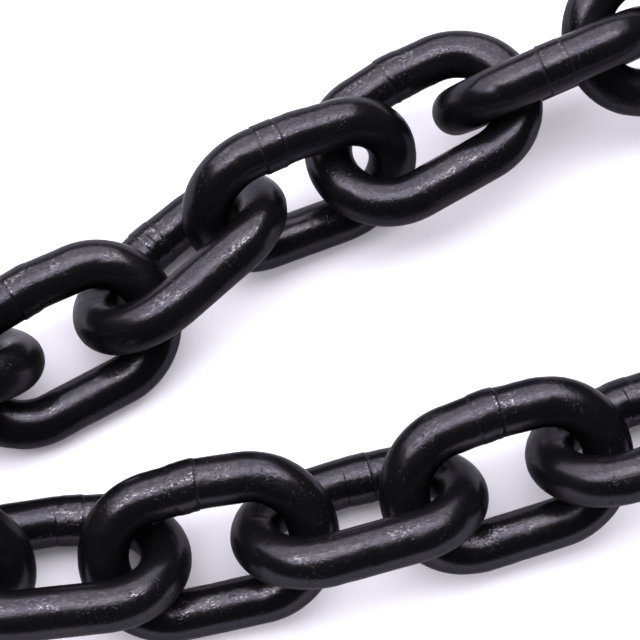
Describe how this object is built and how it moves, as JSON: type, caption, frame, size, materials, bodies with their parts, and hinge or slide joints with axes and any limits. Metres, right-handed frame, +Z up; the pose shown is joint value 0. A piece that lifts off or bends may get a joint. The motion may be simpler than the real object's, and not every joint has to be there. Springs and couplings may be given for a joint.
{
  "type": "chain",
  "caption": "Length of short-link welded iron chain with a black finish, doubled back on itself and laid loosely on the floor.",
  "frame": {"origin": "centre of the laid chain's bounding box, on the floor that it lies on", "axes": "+X along the two runs, away from the bend, +Y towards the upper run, +Z up from the floor"},
  "size_m": [0.4834, 0.17, 0.0431],
  "materials": {
    "black_steel": "satin"
  },
  "bodies": {
    "root": {"link_01": "black_steel", "link_02": "black_steel", "link_03": "black_steel", "link_04": "black_steel", "link_05": "black_steel", "link_06": "black_steel", "link_07": "black_steel", "link_08": "black_steel", "link_09": "black_steel", "link_10": "black_steel", "link_11": "black_steel", "link_12": "black_steel", "link_13": "black_steel", "link_14": "black_steel", "link_15": "black_steel", "link_16": "black_steel", "link_17": "black_steel", "link_18": "black_steel", "link_19": "black_steel", "link_20": "black_steel", "link_21": "black_steel", "link_22": "black_steel", "link_23": "black_steel", "link_24": "black_steel", "link_25": "black_steel", "link_26": "black_steel", "link_27": "black_steel", "link_28": "black_steel", "link_29": "black_steel", "link_30": "black_steel", "link_31": "black_steel", "link_32": "black_steel", "link_33": "black_steel"}
  },
  "joints": []
}
